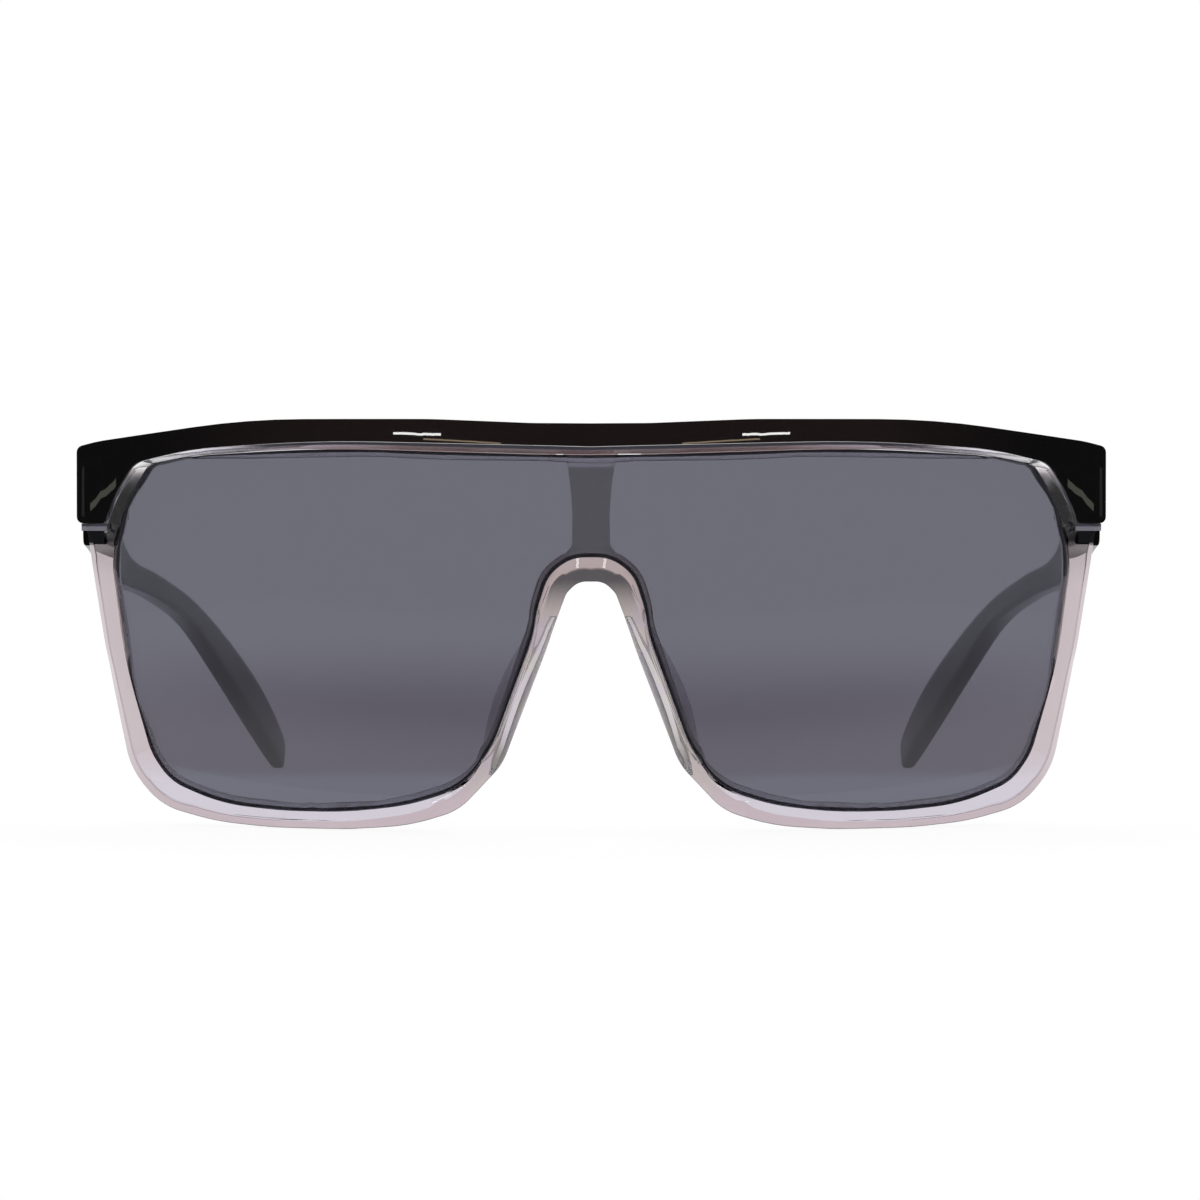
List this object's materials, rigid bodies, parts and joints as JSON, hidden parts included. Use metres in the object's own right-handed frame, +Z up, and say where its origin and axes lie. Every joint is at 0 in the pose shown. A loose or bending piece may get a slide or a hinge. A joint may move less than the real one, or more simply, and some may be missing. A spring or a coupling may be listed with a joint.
{
  "type": "shield sunglasses",
  "caption": "Flat-top shield sunglasses with a clear rim, a black brow bar and folding black temples on barrel hinges.",
  "frame": {"origin": "on the ground under the middle of the open glasses, midway between the brow's face and the temple tips", "axes": "+X to the wearer's left, -Y the way the lens faces, +Y back along the open temples, +Z up"},
  "size_m": [0.1472, 0.1487, 0.0571],
  "materials": {
    "clear_rim": "gloss, clear with a rose-grey tint",
    "black_plastic": "gloss",
    "smoke_lens": "gloss, grey smoke tint",
    "steel": "satin"
  },
  "bodies": {
    "front": {"front_frame": "clear_rim", "brow_bar": "black_plastic", "shield_lens": "smoke_lens", "left_front_leaf": "steel", "right_front_leaf": "steel", "left_hinge_screw": "steel", "right_hinge_screw": "steel"},
    "left_arm": {"left_temple": "black_plastic", "left_temple_leaf": "steel", "left_leaf_screws": "steel"},
    "right_arm": {"right_temple": "black_plastic", "right_temple_leaf": "steel", "right_leaf_screws": "steel"}
  },
  "joints": [
    {"name": "left_fold", "type": "hinge", "parent": "front", "child": "left_arm", "pos_m": [0.06785, -0.04561, 0.0461], "axis": [0, 0, 1], "range_deg": [0, 86]},
    {"name": "right_fold", "type": "hinge", "parent": "front", "child": "right_arm", "pos_m": [-0.06785, -0.04561, 0.0461], "axis": [0, 0, -1], "range_deg": [0, 80]}
  ]
}
